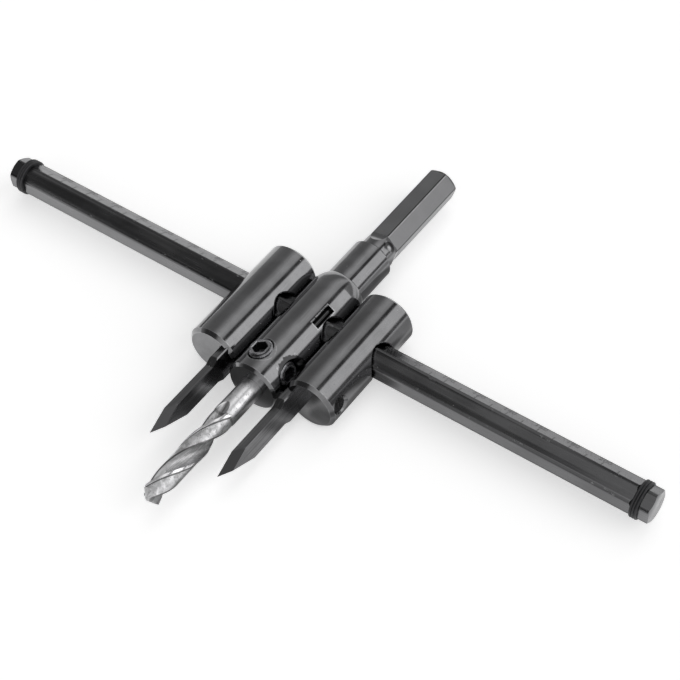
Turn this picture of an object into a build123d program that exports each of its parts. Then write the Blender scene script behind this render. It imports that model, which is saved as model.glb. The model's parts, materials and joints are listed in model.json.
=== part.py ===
from build123d import *
import os
from math import atan, cos, degrees, pi, radians, sqrt, tan

# Adjustable circle cutter, in millimetres.
# X runs along the crossbar, Y along the tool axis with the shank end at +Y, Z is up.
# The origin is where the crossbar's axis crosses the tool's axis.

os.makedirs("parts", exist_ok=True)

# A hexagon's width across flats over its width across corners
hexagon_share = cos(radians(30))

# Crossbar and its stop rings; the marks on the bar are 5 mm apart, which sets the scale of the rest
bar_across_flats = 9.0
bar_length = 226.7
bar_corner_radius = bar_across_flats / 2 / hexagon_share
bar_bore_clearance = 0.1
bar_bore_radius = bar_corner_radius + bar_bore_clearance
bar_bore_rim = 0.45
bar_end_length = 3.2
ring_width = 2.3
ring_radius = 5.6
ring_seat_clearance = 0.02
groove_radius = bar_across_flats / 2 - 0.5
groove_outer_x = bar_length / 2 - bar_end_length
groove_inner_x = groove_outer_x - ring_width
turned_edge = bar_corner_radius - bar_across_flats / 2

# Hub and holders share one diameter, so that the tool lies level on all three
body_radius = 8.45
body_gap = 0.3
holder_offset = 2 * body_radius + body_gap
index_angle = 12.0

# Hub, neck and shank, all turned from one bar
hub_front_y = -27.75
hub_edge = 0.8
dome_start_y = 11.4
dome_end_y = 15.8
dome_end_radius = 7.2
neck_radius = 6.75
neck_start_y = 16.2
neck_end_y = 31.4
neck_edge = 0.8
shank_across_flats = 9.5
shank_corner_radius = shank_across_flats / 2 / hexagon_share
shank_end_y = 68.55
shank_end_edge = 0.75
shank_face_radius = shank_across_flats / 2 - shank_end_edge
shank_end_rounding = 2.5
shank_turn = index_angle
flat_start_y = 36.9
flat_runout_radius = 8.0

# Reading notch above the crossbar on the hub's right side
notch_front_y = -4.0
notch_rear_y = 3.9
notch_wall_x = 5.4
notch_floor_z = 4.45
notch_corner = 0.7

# Pilot drill and its bore
drill_radius = 3.5
drill_clearance = 0.04
drill_bore_radius = drill_radius + drill_clearance
drill_rear_y = -11.2
drill_tip_y = -74.15
drill_point_angle = 118.0
drill_grinding_margin = 1.0
land_start_y = -40.3
flute_start_y = -44.45
flute_runout = 7.55
flute_pitch = 44.5
flute_radius = 2.32
web_radius = 0.75
flute_distance = web_radius + flute_radius
flute_turn = -7.0
land_relief = 0.18
land_radius = drill_radius - land_relief
margin_width = 0.62

# Set screws
large_thread_radius = 3.5
large_thread_clearance = 0.06
large_key = 3.5
small_thread_radius = 2.2
small_thread_clearance = 0.05
small_key = 2.2
tip_gap = 0.05
socket_depth_share = 0.55
screw_edge_share = 0.12
drill_screw_y = -20.2
side_screw_y = -19.0
cup_radius_share = 0.5
cup_floor_share = 0.2
cup_depth_share = 0.3
top_screw_length = 5.8
side_screw_length = 3.55
top_screw_sink_radius = 4.25
side_sink_radius = 5.5
side_sink_slope = 0.6
screw_hole_edge = 0.6
hub_bar_screw_radius = drill_bore_radius - drill_clearance
hub_bar_screw_length = 5.3
holder_bar_screw_length = 7.1
cutter_screw_y = -19.9
cutter_screw_length = 8.9
cutter_screw_sink_radius = 3.1

# Holders
holder_front_y = -24.0
holder_rear_y = 15.65
holder_front_edge = 1.05
holder_rear_edge = 0.9

# Cutters
cutter_thickness = 2.75
cutter_inner_offset = 4.2
cutter_rear_y = -10.85
cutter_shank_height = 8.2
cutter_blade_height = 5.8
cutter_step_start_y = -28.0
cutter_step_end_y = -30.7
cutter_slot_clearance = 0.05
cutter_slot_end_gap = 0.45
cutter_edge = 0.3
blade_top_far_y = -49.15
blade_top_near_y = -46.05
blade_low_near_y = -44.6
blade_mid_y = -53.0
blade_mid_z = 0.27
blade_tip_y = -56.7
blade_tip_z = 0.1

# Cuts run past the surfaces they open: a little past one face, or past the whole part
overcut = 1.0
beyond = 40.0
bore_tolerance = 0.01

base_align = (Align.CENTER, Align.CENTER, Align.MIN)
sides = (("left", -1), ("right", 1))


def cylinder_along(direction, radius, start, end):
    """Cylinder round an axis through the origin, from one distance to another along it."""
    axis_plane = Plane(origin=(0, 0, 0), z_dir=direction)
    return axis_plane * Pos(0, 0, start) * Cylinder(radius, end - start, align=base_align)


def cone_along(direction, start_radius, end_radius, start, end):
    """Cone round an axis through the origin, with a radius at each end."""
    axis_plane = Plane(origin=(0, 0, 0), z_dir=direction)
    return axis_plane * Pos(0, 0, start) * Cone(start_radius, end_radius, end - start, align=base_align)


def radial_direction(angle):
    """Unit vector across the tool axis, at an angle from +X toward +Z."""
    return Vector(1, 0, 0).rotate(Axis.Y, -angle)


def turned_about_y(points):
    """Solid turned about the Y axis from its outline of (radius, y) points."""
    return revolve(make_face(Polyline(*points, close=True)), Axis.Y, 360)


def hex_prism(across_flats, length):
    """Hexagonal prism along +Z, with a flat facing +X."""
    hexagon = RegularPolygon(across_flats / 2, 6, major_radius=False, rotation=30)
    return extrude(hexagon, length)


def set_screw(radius, length, key):
    """Cup-point set screw along +Z, with its tip at the origin and its socket at the top."""
    edge = radius * screw_edge_share
    blank = Cylinder(radius, length, align=base_align)
    blank = chamfer(blank.edges().filter_by(GeomType.CIRCLE), edge)
    depth = length * socket_depth_share
    mouth_radius = key / 2 / hexagon_share + edge / 2
    socket = Pos(0, 0, length - depth) * hex_prism(key, depth)
    lead_in = Pos(0, 0, length - edge) * Cone(key / 2, mouth_radius, edge, align=base_align)
    cup_radius = radius * cup_radius_share
    cup = Cone(cup_radius, radius * cup_floor_share, radius * cup_depth_share, align=base_align)
    return blank - socket - lead_in - cup


def placed_screw(screw, point, direction):
    """A set screw moved so that its tip is at the point and its socket faces the direction."""
    return Plane(origin=point, z_dir=direction) * screw


def flat_cutter(angle):
    """Milling path of one shank flat, with the round run-out that the cutter leaves."""
    flat = shank_across_flats / 2
    rise = shank_corner_radius - flat + overcut
    run = sqrt(2 * flat_runout_radius * rise - rise ** 2)
    sagitta = flat_runout_radius - sqrt(flat_runout_radius ** 2 - (run / 2) ** 2)
    end = shank_end_y + overcut
    start = flat_start_y - run
    with BuildSketch(Plane.XY) as outline:
        with BuildLine():
            Polyline((flat, flat_start_y), (flat, end), (flat + rise, end), (flat + rise, start))
            middle = (flat + sagitta, flat_start_y - run / 2)
            ThreePointArc((flat + rise, start), middle, (flat, flat_start_y))
        make_face()
    path = extrude(outline.sketch, shank_corner_radius, both=True)
    return Rot(0, -angle, 0) * path


def hub_blank():
    """Hub, neck and round shank as turned."""
    with BuildSketch(Plane.XY) as outline:
        with BuildLine():
            Polyline(
                (0, hub_front_y),
                (body_radius - hub_edge, hub_front_y),
                (body_radius, hub_front_y + hub_edge),
                (body_radius, dome_start_y),
            )
            TangentArc((body_radius, dome_start_y), (dome_end_radius, dome_end_y), tangent=(0, 1))
            Polyline(
                (dome_end_radius, dome_end_y),
                (neck_radius, neck_start_y),
                (neck_radius, neck_end_y - neck_edge),
                (neck_radius - neck_edge, neck_end_y),
                (shank_corner_radius, neck_end_y),
                (shank_corner_radius, shank_end_y - shank_end_edge),
            )
            RadiusArc(
                (shank_corner_radius, shank_end_y - shank_end_edge), (shank_face_radius, shank_end_y),
                -shank_end_rounding,
            )
            Polyline((shank_face_radius, shank_end_y), (0, shank_end_y), (0, hub_front_y))
        make_face()
    return revolve(outline.sketch, Axis.Y, 360)


def land_section():
    """Section of the twist drill's two lands before fluting, with a margin at full radius on each."""
    edge_x = (drill_radius ** 2 + flute_distance ** 2 - flute_radius ** 2) / (2 * flute_distance)
    corner = (Align.MIN, Align.MIN)
    strip = Pos(edge_x - margin_width, 0) * Rectangle(drill_radius, drill_radius, align=corner)
    rim = Circle(drill_radius) - Circle(land_radius)
    return Circle(land_radius) + (rim & (strip + Rot(0, 0, 180) * strip))


def twisted(section, start, end):
    """Right-hand twist of a section between two distances from the drill's tip."""
    turned = Rot(0, 0, flute_turn + 360 * start / flute_pitch) * section
    turn = 360 * (end - start) / flute_pitch
    solid = Solid.extrude_linear_with_rotation(turned.face(), (0, 0, 0), (0, 0, end - start), turn)
    return Pos(0, 0, start) * solid


def grinding_envelope(length):
    """Cone and cylinder, a little wider than the drill, that leave its point."""
    radius = drill_radius + drill_grinding_margin
    height = radius / tan(radians(drill_point_angle / 2))
    end = length + drill_grinding_margin
    outline = make_face(Polyline((0, 0), (radius, height), (radius, end), (0, end), close=True))
    return revolve(Plane.XZ * outline, Axis.Z, 360)


def wheel_imprints(start):
    """The two rounded ends that the milling wheel leaves where it lifts out of the flutes."""
    helix_angle = degrees(atan(2 * pi * flute_distance / flute_pitch))
    rim = flute_radius * cos(radians(helix_angle))
    lift = drill_radius - web_radius
    reach = flute_runout / cos(radians(helix_angle))
    wheel = (reach ** 2 + lift ** 2) / (2 * lift)
    imprint = Pos(web_radius + rim + wheel, 0, start) * Rot(90 - helix_angle, 0, 0) * Torus(wheel, rim)
    turn = flute_turn + 360 * start / flute_pitch
    return Rot(0, 0, turn) * imprint + Rot(0, 0, turn + 180) * imprint


def pilot_drill():
    """Twist drill: plain shank, two right-hand flutes that run out, and a ground point."""
    drill_length = drill_rear_y - drill_tip_y
    land_length = land_start_y - drill_tip_y
    fluted_length = flute_start_y - drill_tip_y
    lands = twisted(land_section(), 0, land_length)
    shank = Pos(0, 0, land_length) * Cylinder(drill_radius, drill_length - land_length, align=base_align)
    flute = twisted(Pos(flute_distance, 0) * Circle(flute_radius), 0, fluted_length)
    drill = lands + shank - flute - Rot(0, 0, 180) * flute - wheel_imprints(fluted_length)
    drill = drill & grinding_envelope(drill_length)
    return Plane(origin=(0, drill_tip_y, 0), x_dir=(1, 0, 0), z_dir=(0, 1, 0)) * drill


def bar_bore():
    """Round cross bore that the crossbar slides through."""
    return Rot(0, 90, 0) * Cylinder(bar_bore_radius, 2 * (body_radius + overcut))


def screw_hole(angle, y, radius, sink_radius, inner, sink_slope=1.0):
    """Tapped hole from outside to a distance from the tool axis, with a countersink at its mouth."""
    direction = radial_direction(angle)
    outer = body_radius + overcut
    hole = cylinder_along(direction, radius, inner, outer)
    sink_start = body_radius - (sink_radius - radius) / sink_slope
    mouth_radius = radius + (outer - sink_start) * sink_slope
    sink = cone_along(direction, radius, mouth_radius, sink_start, outer)
    return Pos(0, y, 0) * (hole + sink)


def reading_notch():
    """Notch above the crossbar, where the scale is read beside the hub."""
    length = notch_rear_y - notch_front_y
    middle = (notch_front_y + notch_rear_y) / 2
    notch = Box(beyond, length, beyond, align=(Align.MIN, Align.CENTER, Align.MIN))
    corner = notch.edges().filter_by(Axis.Y).sort_by(Axis.X)[:2].sort_by(Axis.Z)[0]
    notch = fillet(corner, notch_corner)
    return Rot(0, -index_angle, 0) * Pos(notch_wall_x, middle, notch_floor_z) * notch


def rounded_mouths(body):
    """Rounds the edges where the cross bore comes out of a body's side."""
    mouths = [edge for edge in body.edges() if is_bore_mouth(edge)]
    return fillet(mouths, bar_bore_rim)


def is_bore_mouth(edge):
    """True for an edge that runs round the mouth of the cross bore."""
    middle = edge.position_at(0.5)
    size = edge.bounding_box().size
    on_bore = abs(sqrt(middle.Y ** 2 + middle.Z ** 2) - bar_bore_radius) < bore_tolerance
    return on_bore and edge.geom_type not in (GeomType.LINE, GeomType.CIRCLE) and size.Y > bar_bore_radius


def hub_body():
    """Hub with neck and hexagonal shank, bored for the drill and cross-bored for the bar."""
    body = hub_blank()
    for number in range(6):
        body -= flat_cutter(90 + shank_turn + 60 * number)
    body -= bar_bore()
    body = rounded_mouths(body)
    body -= cylinder_along((0, -1, 0), drill_bore_radius, 0, overcut - hub_front_y)
    inner = drill_radius / 2
    hole_radius = large_thread_radius + large_thread_clearance
    body -= screw_hole(90 + index_angle, drill_screw_y, hole_radius, top_screw_sink_radius, inner)
    body -= screw_hole(index_angle, side_screw_y, hole_radius, side_sink_radius, inner, side_sink_slope)
    body -= reading_notch()
    return body


def crossbar():
    """Hexagonal bar with a turned groove and a short chamfered head at each end."""
    half = bar_length / 2
    full = bar_corner_radius + overcut
    flat = bar_across_flats / 2
    edge = 2 * turned_edge
    rise = full - flat
    outline = [(0, -half)]
    for sign in (-1, 1):
        steps = [
            (flat, half), (flat + edge, half - turned_edge), (flat + edge, groove_outer_x + turned_edge),
            (flat, groove_outer_x), (groove_radius, groove_outer_x), (groove_radius, groove_inner_x),
            (flat, groove_inner_x), (full, groove_inner_x - rise),
        ]
        if sign < 0:
            outline += [(radius, -x) for radius, x in steps]
        else:
            outline += list(reversed(steps))
    outline += [(0, half)]
    envelope = Rot(0, 0, -90) * turned_about_y(outline)
    end_plane = Plane(origin=(-half, 0, 0), z_dir=(1, 0, 0), x_dir=(0, 1, 0))
    bar = end_plane * hex_prism(bar_across_flats, bar_length)
    return bar & envelope


def stop_ring(side):
    """Rubber ring seated in the groove at one end of the bar."""
    inner = groove_radius + ring_seat_clearance
    start = groove_inner_x + ring_seat_clearance
    end = groove_outer_x - ring_seat_clearance
    third = (end - start) / 3
    bead = ring_radius - third / 2
    with BuildSketch(Plane.XY) as outline:
        with BuildLine():
            Polyline((bead, end), (inner, end), (inner, start), (bead, start))
            for number in range(3):
                low = start + number * third
                ThreePointArc((bead, low), (ring_radius, low + third / 2), (bead, low + third))
        make_face()
    ring = Rot(0, 0, -90) * revolve(outline.sketch, Axis.Y, 360)
    return ring if side > 0 else mirror(ring, Plane.YZ)


def holder_blank():
    """Holder cylinder as turned, with its bar bore."""
    front = holder_front_y
    rear = holder_rear_y
    body = turned_about_y([
        (0, front), (body_radius - holder_front_edge, front), (body_radius, front + holder_front_edge),
        (body_radius, rear - holder_rear_edge), (body_radius - holder_rear_edge, rear), (0, rear),
    ])
    return rounded_mouths(body - bar_bore())


def cutter_near_side(side):
    """Lowest offset of a cutter from its holder's axis: each cutter sits on the hub's side."""
    return cutter_inner_offset if side < 0 else -cutter_inner_offset - cutter_thickness


def holder(side):
    """Holder with a slot for its cutter, a tapped hole behind for the bar's screw, and one in the side."""
    body = holder_blank()
    hole_radius = large_thread_radius + large_thread_clearance
    rear_hole = cylinder_along((0, 1, 0), hole_radius, 0, holder_rear_y + overcut)
    sink_start = holder_rear_y - screw_hole_edge
    sink_end = holder_rear_y + screw_hole_edge
    rear_sink = cone_along((0, 1, 0), hole_radius, hole_radius + 2 * screw_hole_edge, sink_start, sink_end)
    slot_width = cutter_thickness + 2 * cutter_slot_clearance
    slot_height = cutter_shank_height + 2 * cutter_slot_clearance
    slot_end = cutter_rear_y + cutter_slot_end_gap
    slot = Pos(cutter_near_side(side) - cutter_slot_clearance, slot_end, 0) * Box(
        slot_width, beyond, slot_height, align=(Align.MIN, Align.MAX, Align.CENTER)
    )
    side_angle = index_angle if side > 0 else index_angle + 180
    side_hole = screw_hole(
        side_angle, cutter_screw_y, small_thread_radius + small_thread_clearance, cutter_screw_sink_radius,
        -cutter_inner_offset - cutter_slot_clearance,
    )
    body = body - rear_hole - rear_sink - Rot(0, -index_angle, 0) * slot - side_hole
    return Pos(side * holder_offset, 0, 0) * body


def ground_off(low, near_low, near_high, above):
    """Half space beyond the plane through three points, on the side of a fourth."""
    along = Vector(*near_low) - Vector(*low)
    across = Vector(*near_high) - Vector(*low)
    face = Plane(origin=low, x_dir=along, z_dir=along.cross(across))
    upward = face.z_dir.dot(Vector(*above) - Vector(*low)) > 0
    side = Align.MIN if upward else Align.MAX
    return face * Box(2 * beyond, 2 * beyond, beyond, align=(Align.CENTER, Align.CENTER, side))


def cutter(side):
    """Cutter ground from plate: a tall shank, a lower blade, and a slanted spear point."""
    shank = cutter_shank_height / 2
    blade = cutter_blade_height / 2
    end = blade_tip_y - overcut
    outline = Polyline(
        (cutter_rear_y, -shank), (cutter_rear_y, shank),
        (cutter_step_start_y, shank), (cutter_step_end_y, blade), (end, blade),
        (end, -blade), (cutter_step_end_y, -blade), (cutter_step_start_y, -shank), close=True,
    )
    plate = extrude(Plane.YZ * make_face(outline), cutter_thickness)
    long_edges = plate.edges().filter_by(Axis.Y)
    shank_edges = long_edges.filter_by(lambda edge: edge.center().Y > cutter_step_start_y)
    plate = chamfer(shank_edges, cutter_edge)
    far_top = (0, blade_top_far_y, blade)
    near_top = (cutter_thickness, blade_top_near_y, blade)
    near_middle = (cutter_thickness, blade_mid_y, blade_mid_z)
    near_low = (cutter_thickness, blade_low_near_y, -blade)
    tip = (0, blade_tip_y, blade_tip_z)
    plate -= ground_off(far_top, near_top, tip, (0, end, blade))
    plate -= ground_off(near_low, near_middle, tip, (cutter_thickness, end, -blade))
    placed = Rot(0, -index_angle, 0) * Pos(cutter_near_side(side), 0, 0) * plate
    return Pos(side * holder_offset, 0, 0) * placed


def drill_screws():
    """The two set screws that hold the pilot drill, one from above and one from the side."""
    seat = drill_radius + tip_gap
    top = radial_direction(90 + index_angle)
    across = radial_direction(index_angle)
    top_screw = set_screw(large_thread_radius, top_screw_length, large_key)
    side_screw = set_screw(large_thread_radius, side_screw_length, large_key)
    return {
        "top_drill_screw": placed_screw(top_screw, top * seat + Vector(0, drill_screw_y, 0), top),
        "side_drill_screw": placed_screw(side_screw, across * seat + Vector(0, side_screw_y, 0), across),
    }


def bar_screws():
    """The set screws that bear on the bar's flats: one in the hub's bore, one behind each holder."""
    seat = bar_across_flats / 2 + tip_gap
    hub_screw = set_screw(hub_bar_screw_radius, hub_bar_screw_length, large_key)
    screws = {"hub_bar_screw": placed_screw(hub_screw, (0, -seat, 0), (0, -1, 0))}
    for side_name, side in sides:
        screw = set_screw(large_thread_radius, holder_bar_screw_length, large_key)
        screws[side_name + "_bar_screw"] = placed_screw(screw, (side * holder_offset, seat, 0), (0, 1, 0))
    return screws


def cutter_screw(side):
    """Set screw that bears on the cutter's face from the holder's outer side."""
    angle = index_angle if side > 0 else index_angle + 180
    direction = radial_direction(angle)
    tip = Vector(side * holder_offset, cutter_screw_y, 0) - direction * (cutter_inner_offset - tip_gap)
    return placed_screw(set_screw(small_thread_radius, cutter_screw_length, small_key), tip, direction)


nodes = {"hub_body": hub_body(), "crossbar": crossbar(), "pilot_drill": pilot_drill()}
nodes.update(drill_screws())
nodes.update(bar_screws())
for side_name, side_sign in sides:
    nodes[side_name + "_holder"] = holder(side_sign)
    nodes[side_name + "_cutter"] = cutter(side_sign)
    nodes[side_name + "_cutter_screw"] = cutter_screw(side_sign)
    nodes[side_name + "_stop_ring"] = stop_ring(side_sign)

for node_name, node_solid in nodes.items():
    node_solid.label = node_name
    export_step(node_solid, os.path.join("parts", node_name + ".step"))
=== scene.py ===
import json
from math import ceil, cos, pi, radians, sin, tan

import bmesh
import bpy
from bpy.props import FloatProperty, FloatVectorProperty, IntProperty, PointerProperty
from mathutils import Matrix, Vector


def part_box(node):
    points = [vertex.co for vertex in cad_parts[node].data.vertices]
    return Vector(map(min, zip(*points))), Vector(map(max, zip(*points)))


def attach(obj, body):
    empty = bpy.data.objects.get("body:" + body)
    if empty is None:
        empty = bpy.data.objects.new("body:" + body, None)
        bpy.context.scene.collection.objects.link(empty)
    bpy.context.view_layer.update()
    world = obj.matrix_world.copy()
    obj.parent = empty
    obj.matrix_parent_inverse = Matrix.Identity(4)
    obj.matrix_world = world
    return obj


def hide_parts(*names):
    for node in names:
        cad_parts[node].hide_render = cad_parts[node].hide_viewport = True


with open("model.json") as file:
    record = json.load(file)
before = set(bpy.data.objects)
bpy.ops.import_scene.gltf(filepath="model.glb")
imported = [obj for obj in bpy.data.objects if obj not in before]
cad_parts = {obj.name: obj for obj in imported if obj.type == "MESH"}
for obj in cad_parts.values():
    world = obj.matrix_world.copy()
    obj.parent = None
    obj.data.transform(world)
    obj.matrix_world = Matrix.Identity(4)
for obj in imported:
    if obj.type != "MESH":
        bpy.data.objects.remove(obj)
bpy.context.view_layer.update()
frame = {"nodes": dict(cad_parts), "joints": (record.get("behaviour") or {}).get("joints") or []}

bl_info = {
    "name": "Adjustable circle cutter",
    "version": (1, 0, 0),
    "blender": (4, 5, 0),
    "location": "3D View > Sidebar > Circle Cutter",
    "description": "Finishes the circle cutter's steel, and adds its threads, its scale and a plain studio",
    "category": "Object",
}

mm = 0.001
weld = 0.001 * mm

# Sizes that the CAD pieces already have, in metres and radians
hub_low, hub_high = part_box("hub_body")
body_radius = hub_high.x
floor_height = hub_low.z
bar_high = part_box("crossbar")[1]
bar_flat = bar_high.y
index_angle = radians(12)
facet_angle = pi / 6
flute_turn = radians(-7)
holder_axes = {side: sum(corner.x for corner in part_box(side + "_holder")) / 2 for side in ("left", "right")}
joints = {joint["name"]: joint for joint in frame["joints"]}

# Places on the CAD pieces that the materials mark, in millimetres
hub_radius = body_radius / mm
hub_front_y = hub_low.y / mm
hub_edge = 0.8
neck_radius = 6.75
neck_end_y = 31.4
neck_edge = 0.8
flat_start_y = 36.9
shank_flat = 4.75
shank_corner_radius = 5.485
shank_end_y = hub_high.y / mm
shank_end_radius = 5.2
scoop_y = 34.5
notch_front_y = -4.0
notch_rear_y = 3.9
notch_wall_x = 5.4
notch_floor_z = 4.45
bar_bore_radius = 5.3
top_screw_y = joints["top_drill_screw_turn"]["pos_m"][1] / mm
top_pocket_radius = 4.3
side_screw_y = joints["side_drill_screw_turn"]["pos_m"][1] / mm
side_pocket_radius = 5.5
holder_front_edge = 1.05
holder_rear_edge = 0.9
cutter_point_y = -46.5
drill_radius = 3.5
drill_tip_y = -74.15
land_start_y = -40.3
flute_pitch = 44.5

# The scale: the diameter in millimetres at its first mark, and the sizes of its ink in metres
first_diameter = 60
ink_lift = 0.004 * mm
mark_length = 2.1 * mm
marks_middle = -1.15 * mm
numbers_foot = 0.25 * mm
scale_margin = 9 * mm

# Set screws by the size of their thread; each rides on the body of its own name
large_screws = ("top_drill_screw", "side_drill_screw", "hub_bar_screw", "left_bar_screw", "right_bar_screw")
small_screws = ("left_cutter_screw", "right_cutter_screw")


class ScrewSizes(bpy.types.PropertyGroup):
    """Sizes of the set screws' threads and sockets"""

    large_pitch: FloatProperty(
        name="Large pitch", description="Thread pitch of the screws on the drill and the bar",
        default=1.0 * mm, min=0.5 * mm, max=2.0 * mm, unit="LENGTH", precision=5)
    small_pitch: FloatProperty(
        name="Small pitch", description="Thread pitch of the screws on the cutters",
        default=0.7 * mm, min=0.3 * mm, max=1.5 * mm, unit="LENGTH", precision=5)
    large_key: FloatProperty(
        name="Large key", description="Width across flats of the large screws' sockets",
        default=4.1 * mm, min=1 * mm, max=5 * mm, unit="LENGTH", precision=5)
    small_key: FloatProperty(
        name="Small key", description="Width across flats of the small screws' sockets",
        default=2.4 * mm, min=1 * mm, max=4 * mm, unit="LENGTH", precision=5)
    steps: IntProperty(
        name="Steps", description="Flat steps round one turn of a thread", default=48, min=12, max=128)


class ScaleSizes(bpy.types.PropertyGroup):
    """Sizes of the scale on the crossbar"""

    pitch: FloatProperty(
        name="Pitch", description="Distance between two marks, which is ten millimetres of diameter",
        default=5 * mm, min=1 * mm, max=20 * mm, unit="LENGTH", precision=5)
    first_mark: FloatProperty(
        name="First mark", description="Distance of the first mark from the tool's axis",
        default=25.75 * mm, min=5 * mm, max=100 * mm, unit="LENGTH", precision=5)
    mark_width: FloatProperty(
        name="Mark width", description="Width of one mark",
        default=0.28 * mm, min=0.05 * mm, max=1 * mm, unit="LENGTH", precision=5)
    digit_height: FloatProperty(
        name="Digit height", description="Height of the numbers",
        default=1.9 * mm, min=0.5 * mm, max=4 * mm, unit="LENGTH", precision=5)


class SteelColours(bpy.types.PropertyGroup):
    """Colours of the cutter's metals and rubber"""

    turned: FloatVectorProperty(
        name="Turned steel", description="Oxidised steel of the hub and the holders",
        default=(0.225, 0.225, 0.23), min=0, max=1, size=3, subtype="COLOR")
    bar: FloatVectorProperty(
        name="Bar steel", description="Oxidised steel of the crossbar",
        default=(0.21, 0.21, 0.215), min=0, max=1, size=3, subtype="COLOR")
    cutter: FloatVectorProperty(
        name="Cutter steel", description="Oxidised steel of the two cutters",
        default=(0.23, 0.23, 0.235), min=0, max=1, size=3, subtype="COLOR")
    drill: FloatVectorProperty(
        name="Drill steel", description="Bright steel of the pilot drill",
        default=(0.84, 0.84, 0.85), min=0, max=1, size=3, subtype="COLOR")
    screw: FloatVectorProperty(
        name="Screw steel", description="Blackened steel of the set screws",
        default=(0.12, 0.12, 0.125), min=0, max=1, size=3, subtype="COLOR")
    rubber: FloatVectorProperty(
        name="Rubber", description="Rubber of the stop rings",
        default=(0.022, 0.022, 0.024), min=0, max=1, size=3, subtype="COLOR")


class StudioSizes(bpy.types.PropertyGroup):
    """Floor and camera of the studio"""

    floor_size: FloatProperty(
        name="Floor size", description="Side of the floor", default=6.0, min=1, max=20, unit="LENGTH")
    azimuth: FloatProperty(
        name="Azimuth", description="Turn of the camera round the cutter",
        default=radians(38.95), subtype="ANGLE", unit="ROTATION")
    elevation: FloatProperty(
        name="Elevation", description="Height of the camera over the floor, as an angle",
        default=radians(50.25), subtype="ANGLE", unit="ROTATION")
    roll: FloatProperty(
        name="Roll", description="Turn of the camera about its own line of sight",
        default=radians(-4.02), subtype="ANGLE", unit="ROTATION")
    distance: FloatProperty(
        name="Distance", description="Distance of the camera from the crossbar",
        default=0.51112, min=0.1, max=3, unit="LENGTH")
    shift_right: FloatProperty(
        name="Right", description="How far the camera stands to the right", default=0.008552, unit="LENGTH")
    shift_up: FloatProperty(
        name="Up", description="How far the camera stands up", default=-0.004498, unit="LENGTH")
    lens: FloatProperty(
        name="Lens", description="Focal length", default=93.786, min=20, max=300)


# Shader maths

class Number:
    """A socket whose arithmetic adds Math nodes"""

    def __init__(self, shading, socket):
        self.shading = shading
        self.socket = socket

    def math(self, operation, *others, first=None):
        values = (self,) + others if first is None else (first, self)
        return self.shading.node("Math", {"operation": operation}, dict(enumerate(values)))

    def __add__(self, other):
        return self.math("ADD", other)

    def __sub__(self, other):
        return self.math("SUBTRACT", other)

    def __mul__(self, other):
        return self.math("MULTIPLY", other)

    def __truediv__(self, other):
        return self.math("DIVIDE", other)

    def __rsub__(self, other):
        return self.math("SUBTRACT", first=other)

    def __rtruediv__(self, other):
        return self.math("DIVIDE", first=other)

    def __abs__(self):
        return self.math("ABSOLUTE")

    __radd__ = __add__
    __rmul__ = __mul__

    def least(self, other):
        return self.math("MINIMUM", other)

    def most(self, other):
        return self.math("MAXIMUM", other)

    def root(self):
        return self.math("SQRT")

    def step(self, low, high):
        """Smooth rise from 0 at low to 1 at high."""
        return self.shading.node("MapRange", {"interpolation_type": "SMOOTHSTEP"}, {
            "Value": self, "From Min": low, "From Max": high, "To Min": 0.0, "To Max": 1.0})

    def band(self, low, high, soft):
        """1 between two values, falling to 0 outside them."""
        return self.step(low - soft, low + soft) * (1 - self.step(high - soft, high + soft))


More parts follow.
